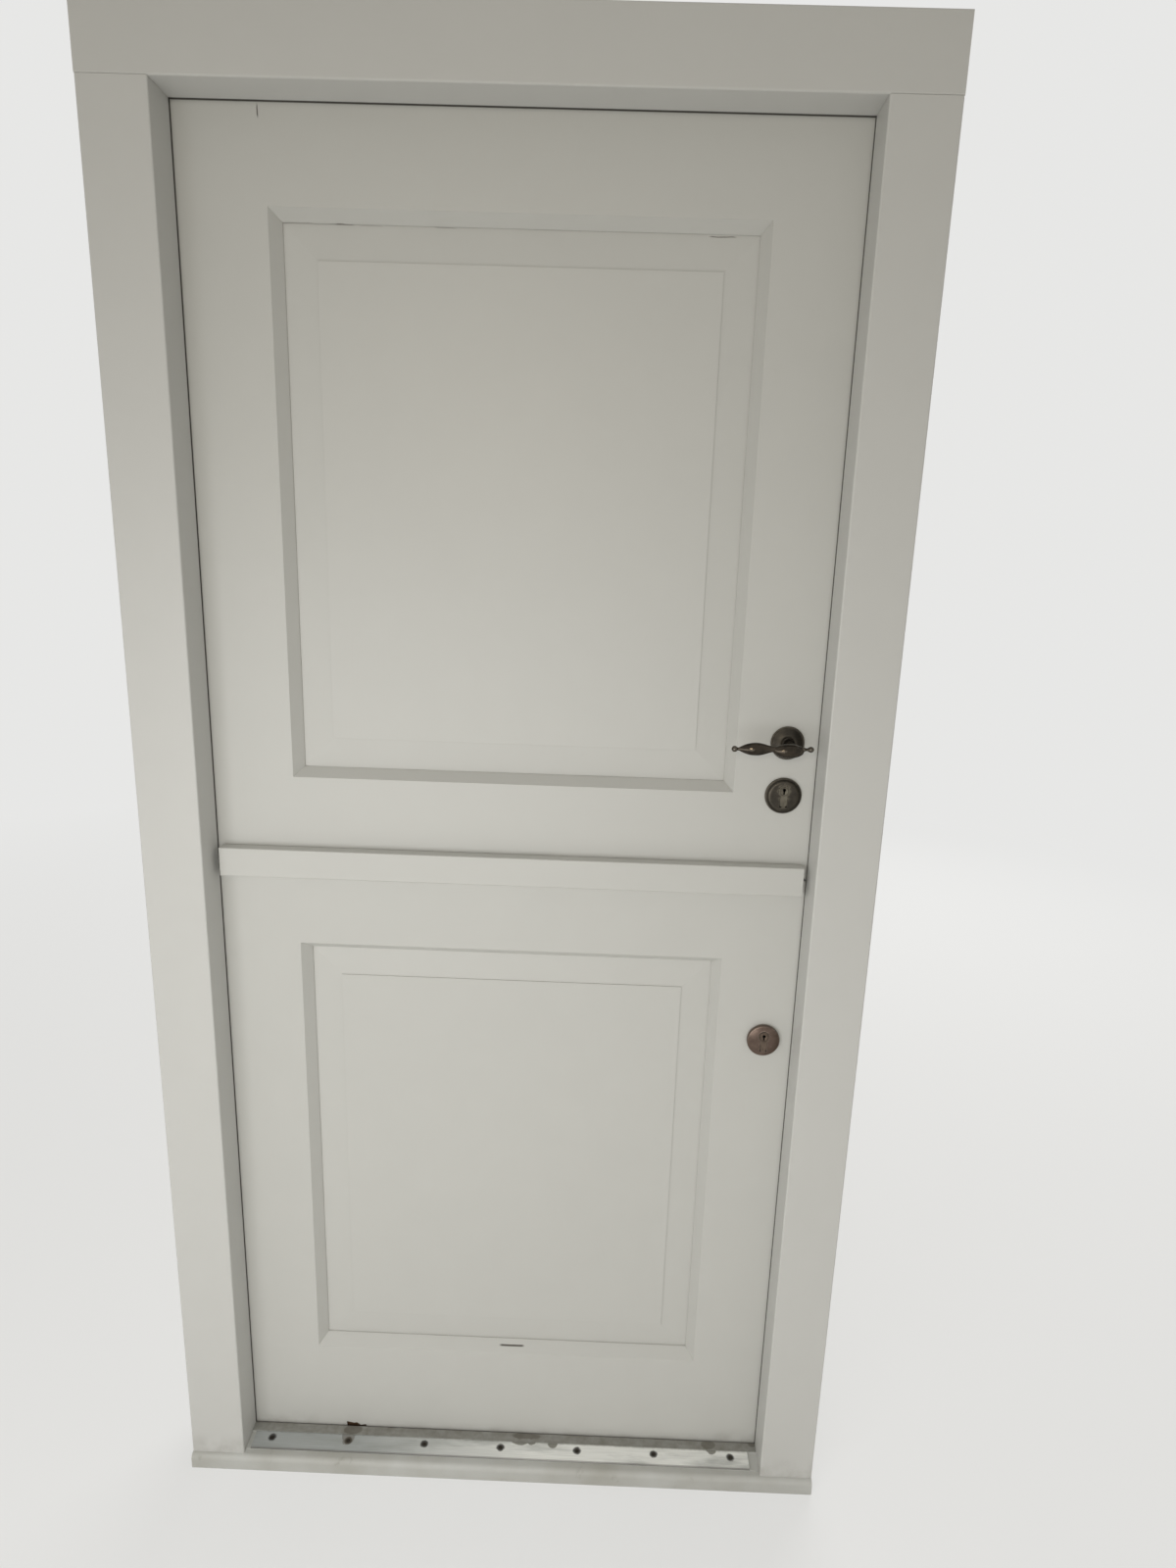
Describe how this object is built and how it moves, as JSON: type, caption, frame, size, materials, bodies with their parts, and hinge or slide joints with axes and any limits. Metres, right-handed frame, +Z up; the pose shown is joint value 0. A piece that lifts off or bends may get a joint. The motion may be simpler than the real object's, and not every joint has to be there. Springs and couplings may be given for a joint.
{
  "type": "dutch stable door with frame",
  "caption": "Outward-opening stable door in a timber frame: two raised-panel leaves, one above the other, with a meeting strip, lever handle, locks and threshold strip.",
  "frame": {"origin": "on the underside of the sill, midway between the posts, in the plane of the frame's room face", "axes": "+X to the lock side, +Y out of the house (the leaves open towards +Y), +Z up"},
  "size_m": [1.082, 0.1897, 2.213],
  "materials": {
    "frame_paint": "satin off-white paint on timber, dirty at the sill",
    "leaf_paint": "satin off-white paint on timber, with hairline cracks and a chipped lower edge",
    "strip_aluminium": "mill finish, trodden and dirty",
    "seal_rubber": "matt",
    "screw_steel": "zinc plated, dulled",
    "hinge_steel": "zinc plated",
    "plate_steel": "brushed",
    "case_steel": "grey lacquer",
    "lock_nickel": "dull nickel on brass",
    "aged_bronze": "aged bronze, worn brighter on the edges",
    "nickel_bronze": "satin, slightly tarnished",
    "dark_steel": "blackened"
  },
  "bodies": {
    "frame": {"sill": "frame_paint", "hinge_post": "frame_paint", "lock_post": "frame_paint", "head": "frame_paint", "threshold_strip": "strip_aluminium", "threshold_screws": "screw_steel", "frame_seal": "seal_rubber", "post_hinge_plates": "hinge_steel", "post_hinge_screws": "screw_steel", "hinge_pins": "hinge_steel", "upper_strike": "plate_steel", "lower_strike": "plate_steel", "strike_screws": "screw_steel"},
    "lower_leaf": {"lower_bottom_rail": "leaf_paint", "lower_cylinder": "lock_nickel", "lower_faceplate": "plate_steel", "lower_hinge_plates": "hinge_steel", "lower_hinge_screws": "screw_steel", "lower_hinge_stile": "leaf_paint", "lower_key_roses": "nickel_bronze", "lower_lock_case": "case_steel", "lower_lock_cover": "case_steel", "lower_lock_screws": "screw_steel", "lower_lock_stile": "leaf_paint", "lower_panel": "leaf_paint", "lower_top_rail": "leaf_paint", "meeting_strip": "leaf_paint", "meeting_seal": "seal_rubber"},
    "upper_leaf": {"upper_bottom_rail": "leaf_paint", "upper_cylinder": "lock_nickel", "upper_faceplate": "plate_steel", "upper_hinge_plates": "hinge_steel", "upper_hinge_screws": "screw_steel", "upper_hinge_stile": "leaf_paint", "upper_key_roses": "aged_bronze", "upper_lock_case": "case_steel", "upper_lock_cover": "case_steel", "upper_lock_screws": "screw_steel", "upper_lock_stile": "leaf_paint", "upper_panel": "leaf_paint", "upper_top_rail": "leaf_paint", "handle_roses": "aged_bronze", "latch_spring": "screw_steel"},
    "handle": {"inner_lever": "aged_bronze", "outer_lever": "aged_bronze", "spindle": "dark_steel", "follower": "lock_nickel", "lever_grub_screws": "dark_steel"},
    "latch": {"latch_bolt": "lock_nickel"},
    "upper_bolt": {"upper_deadbolt": "lock_nickel"},
    "lower_bolt": {"lower_deadbolt": "lock_nickel"},
    "upper_inside_plug": {"upper_inner_plug": "lock_nickel", "upper_cam": "lock_nickel"},
    "upper_outside_plug": {"upper_outer_plug": "lock_nickel"},
    "lower_inside_plug": {"lower_inner_plug": "lock_nickel", "lower_cam": "lock_nickel"},
    "lower_outside_plug": {"lower_outer_plug": "lock_nickel"}
  },
  "joints": [
    {"name": "lower_leaf_hinge", "type": "hinge", "parent": "frame", "child": "lower_leaf", "pos_m": [-0.4665, 0.1215, 0.5605], "axis": [0, 0, 1], "range_deg": [0, 90]},
    {"name": "upper_leaf_hinge", "type": "hinge", "parent": "lower_leaf", "child": "upper_leaf", "pos_m": [-0.4665, 0.1215, 1.62], "axis": [0, 0, 1], "range_deg": [0, 90]},
    {"name": "handle_turn", "type": "hinge", "parent": "upper_leaf", "child": "handle", "pos_m": [0.405, 0.087, 1.313], "axis": [0, -1, 0], "range_deg": [0, 40], "stiffness_Nm_per_rad": 0.6, "springref_deg": -28.65},
    {"name": "latch_slide", "type": "slide", "parent": "upper_leaf", "child": "latch", "axis": [1, 0, 0], "range_m": [0, 0.011]},
    {"name": "upper_inside_key_turn", "type": "hinge", "parent": "upper_leaf", "child": "upper_inside_plug", "pos_m": [0.405, 0.087, 1.241], "axis": [0, 1, 0], "range_deg": [0, 360]},
    {"name": "upper_outside_key_turn", "type": "hinge", "parent": "upper_leaf", "child": "upper_outside_plug", "pos_m": [0.405, 0.087, 1.241], "axis": [0, 1, 0], "range_deg": [0, 360]},
    {"name": "upper_bolt_slide", "type": "slide", "parent": "upper_leaf", "child": "upper_bolt", "axis": [1, 0, 0], "range_m": [0, 0.02]},
    {"name": "lower_inside_key_turn", "type": "hinge", "parent": "lower_leaf", "child": "lower_inside_plug", "pos_m": [0.405, 0.087, 0.8395], "axis": [0, 1, 0], "range_deg": [0, 360]},
    {"name": "lower_outside_key_turn", "type": "hinge", "parent": "lower_leaf", "child": "lower_outside_plug", "pos_m": [0.405, 0.087, 0.8395], "axis": [0, 1, 0], "range_deg": [0, 360]},
    {"name": "lower_bolt_slide", "type": "slide", "parent": "lower_leaf", "child": "lower_bolt", "axis": [1, 0, 0], "range_m": [0, 0.02]}
  ],
  "couplings": [
    {"joint": "upper_inside_key_turn", "follows": "upper_bolt_slide", "rad_per_m": 314.16},
    {"joint": "lower_inside_key_turn", "follows": "lower_bolt_slide", "rad_per_m": 314.16}
  ]
}
